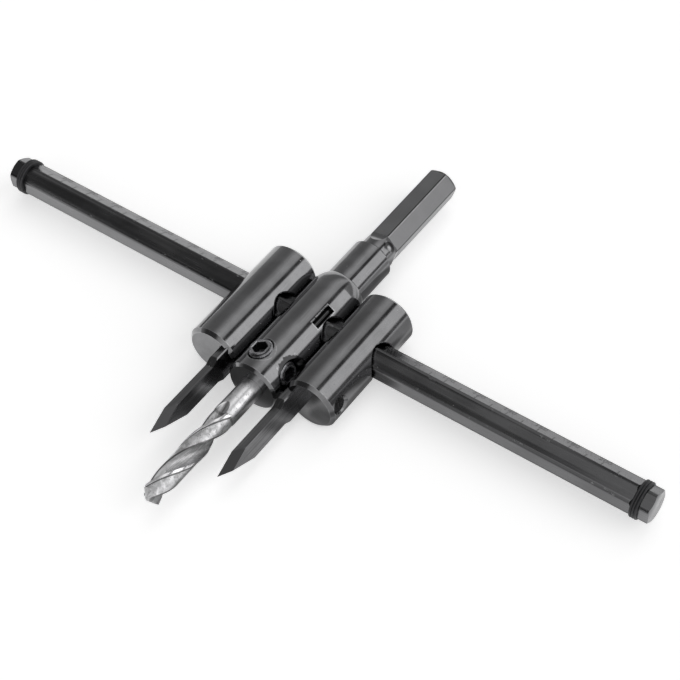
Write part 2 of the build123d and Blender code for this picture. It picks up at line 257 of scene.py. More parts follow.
class Shading:
    """The nodes of one material or world"""

    def __init__(self, owner):
        owner.use_nodes = True
        self.tree = owner.node_tree
        self.tree.nodes.clear()

    def node(self, kind, settings=None, inputs=None, output=0):
        """Adds a node: its settings first, then the values or links of its sockets."""
        made = self.tree.nodes.new("ShaderNode" + kind)
        for name, value in (settings or {}).items():
            if name == "stops":
                self.set_stops(made.color_ramp, value)
            else:
                setattr(made, name, value)
        for name, value in (inputs or {}).items():
            if isinstance(value, Number):
                self.tree.links.new(value.socket, made.inputs[name])
            else:
                made.inputs[name].default_value = value
        return Number(self, made.outputs[output]) if made.outputs else None

    def set_stops(self, ramp, stops):
        while len(ramp.elements) < len(stops):
            ramp.elements.new(1.0)
        for element, (position, level) in zip(ramp.elements, stops):
            element.position = position
            element.color = (level, level, level, 1.0)

    def split(self, vector):
        """The three parts of a vector."""
        made = self.tree.nodes.new("ShaderNodeSeparateXYZ")
        self.tree.links.new(vector.socket, made.inputs[0])
        return [Number(self, output) for output in made.outputs]

    def place(self, centre=(0, 0, 0), stretch=(1, 1, 1)):
        """Object coordinates in millimetres from a centre in metres, squeezed along each axis."""
        scale = [share / mm for share in stretch]
        location = [-part * factor for part, factor in zip(centre, scale)]
        coordinates = self.node("TexCoord", output="Object")
        return self.node("Mapping", inputs={"Vector": coordinates, "Location": location, "Scale": scale})

    def noise(self, vector, scale, detail=3.0, roughness=0.55):
        return self.node("TexNoise", inputs={
            "Vector": vector, "Scale": scale, "Detail": detail, "Roughness": roughness})

    def noise_along(self, number, scale, detail=3.0):
        """Noise of one coordinate only, as a lathe or a grinding wheel leaves it."""
        return self.node("TexNoise", {"noise_dimensions": "1D"}, {
            "W": number, "Scale": scale, "Detail": detail, "Roughness": 0.6})

    def mix(self, share, first, second):
        """Colour between two colours or colour sockets."""
        sockets = {"Factor": share, 6: padded(first), 7: padded(second)}
        return self.node("Mix", {"data_type": "RGBA"}, sockets, output=2)

    def tint(self, base, colour, *layers):
        """Lays lighter or darker shades of a colour over a base, each as its share and its factor."""
        for share, factor in layers:
            base = self.mix(share, base, scaled(colour, factor))
        return base

    def bumps(self, *layers):
        """Bends the normal by one height after the other, each with its distance in millimetres."""
        under = {}
        for height, distance in layers:
            sockets = {"Height": height, "Distance": distance * mm, "Strength": 1.0, **under}
            bent = self.node("Bump", inputs=sockets)
            under = {"Normal": bent}
        return bent

    def metal(self, colour, roughness, metallic, normal):
        self.finish(self.node("BsdfPrincipled", inputs={
            "Base Color": colour, "Roughness": roughness, "Metallic": metallic, "Normal": normal}))

    def finish(self, shader):
        self.node("OutputMaterial", inputs={"Surface": shader})


def padded(colour):
    """A colour with its alpha, or a socket as it is."""
    if isinstance(colour, Number):
        return colour
    return tuple(colour)[:3] + (1.0,)


def scaled(colour, factor):
    return tuple(min(1.0, part * factor) for part in colour)


def diagonal(first, second):
    """Distance from a point or an axis, from the distances along two directions."""
    return (first * first + second * second).root()


def new_material(name):
    material = bpy.data.materials.new(name)
    return material, Shading(material)


def dust(shading, place, scale, amount):
    """Sparse small specks of dust and lint."""
    cell = shading.node("TexVoronoi", {"feature": "F1"}, {"Vector": place, "Scale": scale}, output="Distance")
    spread = shading.noise(place, scale * 0.13, 2.0)
    return (1 - cell.step(0.04, 0.09)) * spread.step(1 - amount, 1.05 - amount)


def turned_steel(name, centre_x, rims, colour, marks, lean=0.0):
    """Oxidised steel with the fine rings that turning leaves, brighter along its worn rims.

    marks gives the shares of painted highlights and burrs, of painted shade, and of rough flats. lean turns
    what the sides mirror.
    """
    material, shading = new_material(name)
    centre = (centre_x, 0, 0)
    place = shading.place(centre)
    x, y, z = shading.split(place)
    radius = diagonal(x, z)
    normal = shading.node("NewGeometry", output="Normal")
    facing_end = abs(shading.split(normal)[1]).step(0.75, 0.9)
    along = y * (1 - facing_end) + radius * facing_end
    rings = shading.noise_along(along, 5.0, 4.0)
    coarse_rings = shading.noise_along(along, 0.9, 2.0)
    clouds = shading.noise(place, 0.16, 4.0)
    mottle = shading.noise(place, 1.3, 5.0, 0.65)
    scratches = shading.noise(shading.place(centre, (2.2, 0.1, 2.2)), 1.0, 5.0, 0.7)
    specks = dust(shading, place, 0.45, 0.42)
    worn = 0.0
    for rim_radius, rim_y in rims:
        worn = (1 - diagonal(y - rim_y, radius - rim_radius).step(0.05, 0.3)) + worn
    worn = worn.least(1.0) * mottle.step(0.35, 0.6)
    painted_highlights_and_burrs, painted_shade, flat = marks(shading, place, x, y, z, radius)
    painted_highlights_and_burrs = painted_highlights_and_burrs * mottle.step(0.35, 0.55)
    base = shading.mix(clouds.step(0.3, 0.7), scaled(colour, 0.88), scaled(colour, 1.1))
    # Painted highlights and burrs lighten the base, and painted shade darkens it
    base = shading.tint(
        base, colour, (scratches.step(0.52, 0.75) * 0.5, 1.35), (mottle.step(0.56, 0.72) * 0.45, 0.7),
        (worn * 0.55, 1.8), (flat * 0.5, 1.3), (painted_highlights_and_burrs, 2.6), (painted_shade * 0.85, 0.1))
    base = shading.mix(specks * 0.7, base, (0.5, 0.5, 0.5))
    roughness = 0.07 + 0.07 * clouds.step(0.35, 0.7) + 0.04 * rings + 0.07 * scratches.step(0.5, 0.8)
    roughness = roughness + 0.26 * flat + 0.2 * painted_highlights_and_burrs + 0.25 * specks
    metallic = (1 - 0.45 * painted_highlights_and_burrs) * (1 - 0.6 * specks)
    heights = [(rings, 0.0009), (coarse_rings, 0.004), (mottle, 0.0035)]
    if lean:
        around = z.math("ARCTAN2", x) * (1 - facing_end)
        heights.insert(1, (around, hub_radius * tan(lean)))
    shading.metal(base, roughness, metallic, shading.bumps(*heights))
    return material


def hub_marks(shading, place, x, y, z, radius):
    """Painted highlights on burred edges, burrs painted as glints, painted shade in corners and recesses, and
    rough flats of the hub: its notch, its pockets and its shank.
    """
    across = x * cos(index_angle) + z * sin(index_angle)
    up = z * cos(index_angle) - x * sin(index_angle)
    skin = radius.step(hub_radius - 0.25, hub_radius - 0.1)

    # The notch over the crossbar: painted highlights along its burred edges and painted shade on its walls
    outside = (notch_front_y - y).most(y - notch_rear_y).most(notch_wall_x - across).most(notch_floor_z - up)
    notch_edge_highlight = skin * (1 - abs(outside - 0.1).step(0.08, 0.24))
    past_bore = radius.step(bar_bore_radius - 0.1, bar_bore_radius + 0.1)
    notch_wall_shade = (1 - outside.step(0.0, 0.1)) * (1 - skin) * past_bore

    # The pockets of the two screws on the drill: a painted highlight round the top one, and round the side
    # one painted shade with a torn rim and burrs painted as bright glints
    from_top = diagonal(y - top_screw_y, across)
    pocket_edge_highlight = (1 - abs(from_top - top_pocket_radius).step(0.06, 0.2)) * up.step(7.0, 7.4)
    from_side = diagonal(y - side_screw_y, up)
    torn = from_side + 1.4 * shading.noise(place, 0.8, 3.0)
    painted_pocket_shade = (1 - torn.step(side_pocket_radius + 0.8, side_pocket_radius + 1.1)) * across.step(3.6, 4.0)
    burred = from_side.band(side_pocket_radius + 0.3, side_pocket_radius + 0.8, 0.15)
    burr_glints = skin * burred * shading.noise(place, 1.1, 2.0).step(0.6, 0.64)

    # The shank's corners and its end: painted shade on the corners and near the end, and a painted highlight
    # beside the corners
    on_shank = y.step(flat_start_y - 0.4, flat_start_y + 0.3)
    ridge_shade = radius.step(shank_corner_radius - 0.115, shank_corner_radius - 0.085) * on_shank
    below_ridge = radius.band(shank_corner_radius - 0.215, shank_corner_radius - 0.125, 0.015)
    ridge_highlight = below_ridge * on_shank * across.step(2.75, 2.85) * up.step(0.5, 1.0)
    end_shade_line = y.band(shank_end_y - 0.75, shank_end_y - 0.35, 0.05) * across.step(0.0, 0.2)

    # The scoop where the neck meets one flat of the shank: a painted shadow round its rim and a painted
    # reflection in its middle
    flat_angle = index_angle + pi / 6
    along_flat = z * cos(flat_angle) - x * sin(flat_angle)
    on_flat = (x * cos(flat_angle) + z * sin(flat_angle)).step(shank_flat - 0.35, shank_flat - 0.15)
    from_scoop = diagonal(y - scoop_y, along_flat)
    scoop_rear = (y + along_flat * 0.5).step(scoop_y - 1.5, scoop_y - 0.5)
    scoop_rim_shadow = on_flat * from_scoop.band(0.85, 2.0, 0.15) * scoop_rear
    scoop_reflection = on_flat * (1 - from_scoop.step(0.35, 0.8))

    painted_highlights_and_burrs = notch_edge_highlight.most(ridge_highlight).most(scoop_reflection).most(burr_glints) * 0.8
    painted_shade = notch_wall_shade.most(painted_pocket_shade).most(ridge_shade).most(end_shade_line * 0.8).most(scoop_rim_shadow)
    return painted_highlights_and_burrs.most(pocket_edge_highlight * 0.35), painted_shade, on_shank


def holder_marks(shading, place, x, y, z, radius):
    """Burrs painted as bright glints, and a line of painted shade, round the mouths of a holder's bore for
    the crossbar.
    """
    from_bar = diagonal(y, z)
    near_mouth = radius.step(6.4, 6.6)
    burred = from_bar.band(bar_bore_radius + 0.2, bar_bore_radius + 0.7, 0.15)
    burr_glints = near_mouth * burred * shading.noise(place, 1.2, 2.0).step(0.6, 0.64)
    painted_shade = near_mouth * (1 - from_bar.step(bar_bore_radius + 0.15, bar_bore_radius + 0.3))
    return burr_glints * 0.9, painted_shade, 0.0


def drawn_steel(name, colour):
    """Oxidised steel of the crossbar, drawn lengthwise, with a line of painted shade and chips along its
    corners.
    """
    material, shading = new_material(name)
    place = shading.place()
    x, y, z = shading.split(place)
    lines = shading.noise(shading.place(stretch=(0.03, 2.6, 2.6)), 1.0, 4.0, 0.6)
    clouds = shading.noise(shading.place(stretch=(0.35, 1, 1)), 0.14, 3.0)
    mottle = shading.noise(place, 1.1, 6.0, 0.7)
    specks = dust(shading, place, 0.5, 0.42)
    # A line of painted shade along the rounded corners, and chips of wear on them
    corner = diagonal(y, z).step(4.86, 4.98)
    chips = corner * shading.noise(shading.place(stretch=(0.6, 1, 1)), 0.55, 4.0, 0.65).step(0.6, 0.66)
    from_facet = y * sin(facet_angle) + z * cos(facet_angle) - bar_flat / mm
    on_scale = from_facet.step(-0.15, -0.05)
    filed = shading.noise_along(x + 0.36 * y - 0.2 * z, 1.9, 3.0)
    patches = shading.noise(place, 0.5, 3.0).step(0.45, 0.6) * filed.step(0.5, 0.6)
    hatch = x.band(20.0, 31.0, 4.0) * filed.step(0.48, 0.54)
    base = shading.mix(clouds.step(0.3, 0.7), scaled(colour, 0.88), scaled(colour, 1.1))
    base = shading.tint(
        base, colour, (lines.step(0.5, 0.78) * 0.6, 1.3), (mottle.step(0.55, 0.75) * 0.5, 0.65),
        (on_scale * patches * 0.5, 0.6), (on_scale * hatch * 0.8, 0.25), (corner * 0.75, 0.3),
        (chips * 0.5, 1.6))
    base = shading.mix(specks * 0.7, base, (0.5, 0.5, 0.5))
    roughness = 0.15 + 0.1 * clouds.step(0.35, 0.7) + 0.1 * lines + 0.25 * chips + 0.25 * specks
    bumped = shading.bumps((lines, 0.004), (mottle, 0.004), (1 - chips, 0.05))
    shading.metal(base, roughness, 1 - 0.6 * specks, bumped)
    return material


def ground_steel(name, centre_x, colour, bevel_shade):
    """Oxidised steel of a cutter, ground lengthwise, with a freshly ground point and painted shade on its
    bevel.
    """
    material, shading = new_material(name)
    centre = (centre_x, 0, 0)
    place = shading.place(centre)
    y = shading.split(place)[1]
    strips = shading.noise(shading.place(centre, (2.4, 0.06, 2.4)), 1.0, 4.0, 0.65)
    grinding = shading.noise(shading.place(centre, (0.3, 6.0, 0.3)), 1.0, 3.0, 0.6)
    mottle = shading.noise(place, 1.0, 5.0, 0.65)
    specks = dust(shading, place, 0.5, 0.4)
    point = 1 - y.step(cutter_point_y - 0.6, cutter_point_y + 0.6)
    normal = shading.split(shading.node("NewGeometry", output="True Normal"))
    facing = normal[0] * cos(index_angle) + normal[2] * sin(index_angle)
    # Painted shade on the bevel facets of the point
    bevel = point * facing.band(0.3, 0.94, 0.02)
    base = shading.mix(strips.step(0.35, 0.7), scaled(colour, 0.75), scaled(colour, 1.25))
    base = shading.tint(
        base, colour, (mottle.step(0.55, 0.75) * 0.5, 0.6), (point * 0.5, 0.8), (bevel, bevel_shade))
    base = shading.mix(specks * 0.6, base, (0.45, 0.45, 0.45))
    roughness = 0.12 + 0.08 * strips + 0.06 * mottle + 0.2 * specks
    bumped = shading.bumps((strips, 0.006), (grinding * point, 0.006), (mottle, 0.004))
    shading.metal(base, roughness, 1 - 0.6 * specks, bumped)
    return material


def drill_steel(name, colour):
    """Bright steel of the pilot drill: a ground shank with painted shade at its sides and a painted sheen on
    top, and pitted, stained flutes with painted shade and painted shadow lines.
    """
    material, shading = new_material(name)
    place = shading.place()
    x, y, z = shading.split(place)
    radius = diagonal(x, z)
    turn = z.math("ARCTAN2", x)
    fluted = 1 - y.step(land_start_y - 0.2, land_start_y + 0.1)
    inside = 1 - radius.step(drill_radius - 0.35, drill_radius - 0.25)
    on_land = fluted * (1 - inside)

    # Degrees from the middle of the nearest flute, from -90 to 90, as the flutes twist
    phase = (turn + flute_turn) / -pi - (y - drill_tip_y) / (flute_pitch / 2)
    phase = ((phase + 0.5).math("FRACT") - 0.5) * 180
    margin = on_land * phase.band(40.5, 54.0, 0.5)
    # Painted shadow lines along the step behind each margin, along the heels, and where the lands start
    step_shadow = on_land * phase.band(55.0, 63.0, 1.5)
    heel_shade_line = phase.band(-50.0, -38.0, 1.5) * fluted * radius.step(drill_radius - 0.6, drill_radius - 0.5)
    start_shadow = y.band(land_start_y - 0.8, land_start_y - 0.1, 0.1) * (1 - margin)
    lines = step_shadow.most(heel_shade_line).most(start_shadow * 0.7)

    on_shank = 1 - fluted
    # Painted shade at the shank's sides and a painted sheen on its top
    painted_side_shade = (1 - turn.step(0.1, 0.5)).most(turn.step(2.1, 2.4)) * on_shank
    painted_top_sheen = turn.band(1.05, 1.75, 0.1) * on_shank
    along = shading.noise_along(phase, 0.11, 4.0)
    rings = shading.noise_along(y, 4.0, 4.0)
    grains = shading.noise(place, 2.4, 6.0, 0.7)
    stains = shading.noise(place, 0.45, 5.0, 0.65)
    streaks = shading.noise(shading.place(stretch=(2.0, 0.25, 2.0)), 1.0, 5.0, 0.7)
    cell = shading.node("TexVoronoi", {"feature": "F1"}, {"Vector": place, "Scale": 1.7}, output="Distance")
    pits = (1 - cell.step(0.12, 0.3)) * shading.noise(place, 0.8, 2.0).step(0.45, 0.58)
    base = shading.mix(stains.step(0.35, 0.65), scaled(colour, 1.1), scaled(colour, 0.72))
    # Painted shade in the flutes with streaks along the twist, with the painted light above, over the stains
    base = shading.tint(
        base, colour, (streaks.step(0.55, 0.8) * 0.6, 0.55),
        (inside * (0.25 + 0.6 * along.step(0.4, 0.65)), 0.4), (inside * grains.step(0.5, 0.65) * 0.4, 0.5),
        (on_land * stains.step(0.45, 0.55) * 0.35, 0.5), (margin * 0.8, 1.15), (painted_side_shade * 0.75, 0.3),
        (painted_top_sheen * 0.7, 1.15), (lines * 0.85, 0.12), (pits * 0.8, 0.22))
    roughness = 0.13 + 0.06 * stains + 0.06 * grains + 0.24 * (1 - margin) * (0.5 + 0.5 * fluted)
    bumped = shading.bumps((rings, 0.004), (grains, 0.022), (1 - pits, 0.04))
    shading.metal(base, roughness, 1 - 0.35 * pits, bumped)
    return material


def screw_steel(name, colour):
    """Blackened steel of the set screws, rubbed brighter on the crests and the socket's rim."""
    material, shading = new_material(name)
    place = shading.place()
    rubbed = shading.node("Attribute", {"attribute_name": "rubbed"}, output="Fac")
    mottle = shading.noise(place, 1.6, 5.0, 0.65)
    base = shading.mix(mottle.step(0.35, 0.7), scaled(colour, 0.75), scaled(colour, 1.3))
    base = shading.tint(base, colour, (rubbed * 0.8, 3.0), (rubbed * mottle.step(0.4, 0.6) * 0.5, 5.0))
    shading.metal(base, 0.2 + 0.16 * mottle, 1 - 0.2 * rubbed, shading.bumps((mottle, 0.006)))
    return material


def scale_ink(name):
    """Dark line of the marks and numbers rolled into the bar."""
    material, shading = new_material(name)
    mottle = shading.noise(shading.place(), 2.2, 5.0, 0.7)
    base = shading.mix(mottle.step(0.35, 0.62), (0.08, 0.08, 0.082), (0.15, 0.15, 0.153))
    shading.metal(base, 0.35 + 0.2 * mottle, 0.9, shading.bumps((mottle, 0.01)))
    return material


def ring_rubber(name, colour):
    """Black rubber with a dusty, slightly rough skin."""
    material, shading = new_material(name)
    place = shading.place()
    skin = shading.noise(place, 3.0, 6.0, 0.7)
    dusty = shading.noise(place, 0.7, 4.0, 0.6)
    base = shading.mix(dusty.step(0.5, 0.75) * 0.5, colour, scaled(colour, 3.0))
    base = shading.mix(dust(shading, place, 0.9, 0.45), base, (0.3, 0.3, 0.3))
    shading.metal(base, 0.42 + 0.2 * skin, 0.0, shading.bumps((skin, 0.03)))
    return material


def floor_paper(name):
    """White paper that takes the shadows, and that the steel mirrors darker in some patches of painted shade.

    The patches stand for what the photographed steel mirrored there, and only mirrored rays see them.
    """
    material, shading = new_material(name)
    x, y = shading.split(shading.place())[:2]

    # Painted shade before the hub and round the drill, paler under the drill itself
    between = x.band(-19.0, 15.0, 2.0) * (1 - y.step(-32.0, -26.0)) * y.step(-76.0, -68.0)
    between = between * (0.86 - 0.36 * x.band(-7.5, 4.0, 2.0) * (1 - y.step(-44.0, -36.0)))

    # Painted shade under the right holder, along the bar's right arm, behind that arm, and before the right
    # holder
    beside = x.band(4.0, 30.0, 4.0) * y.band(-26.0, 40.0, 4.0) * (1 - 0.6 * y.band(5.0, 13.0, 3.0))
    right = x.band(30.0, 109.0, 4.0) * (1 - y.step(60.0, 120.0)) * (0.24 + 0.5 * y.band(-4.0, 18.0, 4.0))
    behind = 0.2 * x.step(26.0, 34.0) * y.band(18.0, 90.0, 5.0)
    ahead = (0.3 + 0.4 * y.step(-33.0, -29.0)) * x.step(12.0, 16.0) * (1 - y.step(-28.0, -22.0))

    # All the patches of painted shade, which only mirrored rays see
    patches = (0.75 * beside).most(between).most(right + behind).most(ahead)
    in_metal = shading.node("LightPath", output="Is Glossy Ray")
    in_view = shading.node("LightPath", output="Is Camera Ray")
    paper = shading.node("BsdfDiffuse", inputs={"Color": (0.98, 0.98, 0.98, 1.0)})
    glow = shading.node("Emission", inputs={
        "Color": (1.0, 1.0, 1.0, 1.0), "Strength": 0.45 * in_view + 0.475 * in_metal})
    white = shading.node("AddShader", inputs={0: paper, 1: glow})
    painted_shade_black = shading.node("BsdfDiffuse", inputs={"Color": (0.0, 0.0, 0.0, 1.0)})
    shading.finish(shading.node("MixShader", inputs={0: in_metal * patches, 1: white, 2: painted_shade_black}))
    return material


# Meshes

def add_piece(name, work, material, body, sharp=radians(35)):
    """Makes a finished mesh the object of a new piece that rides on a body."""
    bmesh.ops.recalc_face_normals(work, faces=work.faces)
    mesh = bpy.data.meshes.new(name)
    work.to_mesh(mesh)
    work.free()
    for polygon in mesh.polygons:
        polygon.use_smooth = True
    mesh.set_sharp_from_angle(angle=sharp)
    mesh.materials.append(material)
    piece = bpy.data.objects.new(name, mesh)
    bpy.context.scene.collection.objects.link(piece)
    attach(piece, body)
    return piece


def dress(node, material):
    """Gives a CAD node its material."""
    slots = frame["nodes"][node].data.materials
    slots.clear()
    slots.append(material)


def thread_spin(work, crest, root, pitch, length, steps):
    """Helical thread about Z from below 0 to above the length, open at both ends."""
    shares = ((root, 0.0), (root, 0.25), (crest, 0.5625), (crest, 0.6875))
    turns = int(length / pitch) + 4
    points = [
        (radius, 0, (turn - 2 + share) * pitch) for turn in range(turns) for radius, share in shares
    ]
    verts = [work.verts.new(point) for point in points]
    edges = [work.edges.new(pair) for pair in zip(verts, verts[1:])]
    bmesh.ops.spin(
        work, geom=verts + edges, cent=(0, 0, 0), axis=(0, 0, 1), dvec=(0, 0, pitch / steps),
        angle=2 * pi, steps=steps, use_duplicate=False)
    bmesh.ops.remove_doubles(work, verts=work.verts, dist=weld)


def cut_off(work, height, upward):
    """Removes what is above or below a height, and returns the open edges there."""
    geometry = work.verts[:] + work.edges[:] + work.faces[:]
    bmesh.ops.bisect_plane(
        work, geom=geometry, dist=weld / 10, plane_co=(0, 0, height),
        plane_no=(0, 0, 1 if upward else -1), clear_outer=True)
    return [
        edge for edge in work.edges
        if edge.is_boundary and all(abs(vert.co.z - height) < weld for vert in edge.verts)
    ]


def circle_edges(work, radius, height, segments, turn=0.0):
    """A ring of loose edges about Z."""
    place = Matrix.Translation((0, 0, height)) @ Matrix.Rotation(turn, 4, "Z")
    made = bmesh.ops.create_circle(work, cap_ends=False, radius=radius, segments=segments, matrix=place)
    return list(dict.fromkeys(edge for vert in made["verts"] for edge in vert.link_edges))


def sunk_ring(work, edges, height, factor):
    """Extrudes a ring of edges to another height and size, and returns the new ring."""
    made = bmesh.ops.extrude_edge_only(work, edges=edges)["geom"]
    verts = [item for item in made if isinstance(item, bmesh.types.BMVert)]
    for vert in verts:
        vert.co.z = height
        vert.co.x *= factor
        vert.co.y *= factor
    return [item for item in made if isinstance(item, bmesh.types.BMEdge)]


def threaded_screw(length, radius, pitch, key, steps):
    """Cup-point set screw along Z with its tip at the origin, a rolled thread and a hexagonal socket."""
    work = bmesh.new()
    depth = 0.54 * pitch
    thread_spin(work, radius, radius - depth, pitch, length, steps)
    top_edges = cut_off(work, length, True)
    tip_edges = cut_off(work, 0.0, False)
    rubbed = work.verts.layers.float.new("rubbed")
    for vert in work.verts:
        from_end = min(vert.co.z, length - vert.co.z)
        reach = vert.co.xy.length
        limit = radius - depth * 1.1 + from_end
        vert[rubbed] = 1.0 if reach > radius - 0.02 * mm else 0.0
        if reach > limit:
            vert.co.x *= limit / reach
            vert.co.y *= limit / reach
            vert[rubbed] = 0.7 if vert.co.z > length / 2 else 0.3
    corner = key / 2 / cos(pi / 6)
    lead = 0.07 * radius
    socket_floor = 0.45 * length
    socket_tip = socket_floor - 0.15 * key
    socket = circle_edges(work, corner + lead, length, 6, pi / 6)
    for edge in socket:
        for vert in edge.verts:
            vert[rubbed] = 1.0
    bmesh.ops.bridge_loops(work, edges=top_edges + socket)
    socket = sunk_ring(work, socket, length - lead, corner / (corner + lead))
    socket = sunk_ring(work, socket, socket_floor, 1.0)
    socket = sunk_ring(work, socket, socket_tip, 0.02)
    bmesh.ops.contextual_create(work, geom=socket)
    for vert in work.verts:
        if vert.co.xy.length < corner * 1.01:
            vert[rubbed] = 0.0
    cup = circle_edges(work, radius * 0.5, 0.0, steps)
    bmesh.ops.bridge_loops(work, edges=tip_edges + cup)
    cup = sunk_ring(work, cup, radius * 0.3, 0.4)
    bmesh.ops.contextual_create(work, geom=cup)
    return work


def tapped_thread(start, end, hole_radius, pitch, steps):
    """Ring of inner thread about Z, sunk a little into the wall of its hole."""
    work = bmesh.new()
    wall = hole_radius + 0.12 * mm
    thread_spin(work, hole_radius - 0.45 * pitch, hole_radius + 0.05 * mm, pitch, end, steps)
    far_edges = cut_off(work, end, True)
    near_edges = cut_off(work, start, False)
    outer_near = circle_edges(work, wall, start, steps)
    bmesh.ops.bridge_loops(work, edges=near_edges + outer_near)
    outer_far = sunk_ring(work, outer_near, end, 1.0)
    bmesh.ops.bridge_loops(work, edges=far_edges + outer_far)
    return work


def screw_place(node):
    """Where a CAD screw lies: the matrix from its own axis to the frame, its length and its radius."""
    joint = joints[node + "_turn"]
    axis = Vector(joint["axis"]).normalized()
    origin = Vector(joint["pos_m"])
    points = [vert.co - origin for vert in frame["nodes"][node].data.vertices]
    heights = [point.dot(axis) for point in points]
    radius = max((point - axis * point.dot(axis)).length for point in points)
    tip = origin + axis * min(heights)
    place = Matrix.Translation(tip) @ axis.to_track_quat("Z", "Y").to_matrix().to_4x4()
    return place, max(heights) - min(heights), radius


class CIRCLECUTTER_OT_hub(bpy.types.Operator):
    """Finish the hub, its neck and its shank"""

    bl_idname = "circle_cutter.hub"
    bl_label = "Hub"

    def execute(self, context):
        colours = context.scene.circle_cutter_colours
        rims = (
            (hub_radius, hub_front_y + hub_edge), (neck_radius, neck_end_y - neck_edge),
            (neck_radius - neck_edge, neck_end_y), (shank_end_radius, shank_end_y - 0.4),
        )
        dress("hub_body", turned_steel("hub steel", 0.0, rims, colours.turned, hub_marks))
        return {"FINISHED"}


class CIRCLECUTTER_OT_holders(bpy.types.Operator):
    """Finish the two holders that slide on the crossbar"""

    bl_idname = "circle_cutter.holders"
    bl_label = "Holders"

    def execute(self, context):
        turned = context.scene.circle_cutter_colours.turned
        # shade_tone darkens the right holder's copy of the turned steel as painted shade
        for side, lean, shade_tone in (("left", radians(-3), 1.0), ("right", radians(6), 0.88)):
            node = side + "_holder"
            front, rear = (corner.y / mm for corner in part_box(node))
            rims = (
                (hub_radius, front + holder_front_edge), (hub_radius - holder_front_edge, front),
                (hub_radius, rear - holder_rear_edge), (hub_radius - holder_rear_edge, rear),
            )
            dress(node, turned_steel(
                side + " holder steel", holder_axes[side], rims, scaled(turned, shade_tone), holder_marks, lean))
        return {"FINISHED"}


class CIRCLECUTTER_OT_crossbar(bpy.types.Operator):
    """Make the crossbar with its rounded corners"""

    bl_idname = "circle_cutter.crossbar"
    bl_label = "Crossbar"

    corner_radius: FloatProperty(
        name="Corner radius", description="How far the bar's corners are rounded off",
        default=0.4 * mm, min=0.05 * mm, max=1 * mm, unit="LENGTH", precision=5)

    def execute(self, context):
        colours = context.scene.circle_cutter_colours
        work = bmesh.new()
        work.from_mesh(frame["nodes"]["crossbar"].data)
        bmesh.ops.remove_doubles(work, verts=work.verts, dist=weld)
        bmesh.ops.dissolve_limit(
            work, angle_limit=radians(0.2), verts=work.verts, edges=work.edges)
        corners = [
            edge for edge in work.edges
            if len(edge.link_faces) == 2 and abs(edge.verts[0].co.x - edge.verts[1].co.x) > 1 * mm
            and abs(edge.calc_face_angle() - pi / 3) < radians(3)
        ]
        if not corners:
            raise RuntimeError("the crossbar has no corners to round")
        bmesh.ops.bevel(
            work, geom=corners, offset=self.corner_radius, offset_type="OFFSET", affect="EDGES",
            segments=4, profile=0.5, material=-1, clamp_overlap=True)
        piece = add_piece("crossbar_drawn", work, drawn_steel("bar steel", colours.bar), "bar")
        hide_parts("crossbar")
        return {"FINISHED"}


def facet_place(x, y):
    """Matrix from a flat drawing to the bar's upper rear facet, at x along it and y up it."""
    outward = Vector((0, sin(facet_angle), cos(facet_angle)))
    up = Vector((0, cos(facet_angle), -sin(facet_angle)))
    turn = Matrix((Vector((1, 0, 0)), up, outward)).transposed().to_4x4()
    return Matrix.Translation(outward * (bar_flat + ink_lift) + up * y + Vector((x, 0, 0))) @ turn


def number_mesh(text, height):
    """Flat solid of a number, centred, with its foot on zero."""
    curve = bpy.data.curves.new("number", "FONT")
    curve.body = text
    curve.size = height * 1.42
    curve.align_x = "CENTER"
    curve.extrude = ink_lift
    curve.resolution_u = 3
    holder = bpy.data.objects.new("number", curve)
    bpy.context.scene.collection.objects.link(holder)
    mesh = bpy.data.meshes.new_from_object(holder)
    bpy.data.objects.remove(holder)
    return mesh


class CIRCLECUTTER_OT_scale(bpy.types.Operator):
    """Lay the scale's marks and numbers on the crossbar"""

    bl_idname = "circle_cutter.scale"
    bl_label = "Scale"

    def execute(self, context):
        sizes = context.scene.circle_cutter_scale
        work = bmesh.new()
        count = ceil((bar_high.x - scale_margin - sizes.first_mark) / sizes.pitch)
        mark = Vector((sizes.mark_width, mark_length, 2 * ink_lift))
        for sign in (-1, 1):
            for number in range(count):
                x = sign * (sizes.first_mark + number * sizes.pitch)
                made = bmesh.ops.create_cube(work, size=1.0)["verts"]
                bmesh.ops.scale(work, vec=mark, verts=made)
                bmesh.ops.transform(work, matrix=facet_place(x, marks_middle), verts=made)
                diameter = first_diameter + 10 * number
                if diameter % 20 == 0:
                    mesh = number_mesh(str(diameter), sizes.digit_height)
                    mesh.transform(facet_place(x, numbers_foot))
                    work.from_mesh(mesh)
                    bpy.data.meshes.remove(mesh)
        bmesh.ops.remove_doubles(work, verts=work.verts, dist=0.0002 * mm)
        add_piece("bar_scale", work, scale_ink("scale ink"), "bar")
        return {"FINISHED"}


class CIRCLECUTTER_OT_stop_rings(bpy.types.Operator):
    """Finish the rubber rings near the bar's ends"""

    bl_idname = "circle_cutter.stop_rings"
    bl_label = "Stop Rings"

    def execute(self, context):
        rubber = ring_rubber("ring rubber", context.scene.circle_cutter_colours.rubber)
        for side in holder_axes:
            dress(side + "_stop_ring", rubber)
        return {"FINISHED"}


class CIRCLECUTTER_OT_cutters(bpy.types.Operator):
    """Finish the two spear-point cutters"""

    bl_idname = "circle_cutter.cutters"
    bl_label = "Cutters"

    def execute(self, context):
        colour = context.scene.circle_cutter_colours.cutter
        for side, bevel_shade in (("left", 0.55), ("right", 0.35)):
            steel = ground_steel(side + " cutter steel", holder_axes[side], colour, bevel_shade)
            dress(side + "_cutter", steel)
        return {"FINISHED"}


class CIRCLECUTTER_OT_pilot_drill(bpy.types.Operator):
    """Finish the pilot drill"""

    bl_idname = "circle_cutter.pilot_drill"
    bl_label = "Pilot Drill"

    def execute(self, context):
        dress("pilot_drill", drill_steel("drill steel", context.scene.circle_cutter_colours.drill))
        return {"FINISHED"}


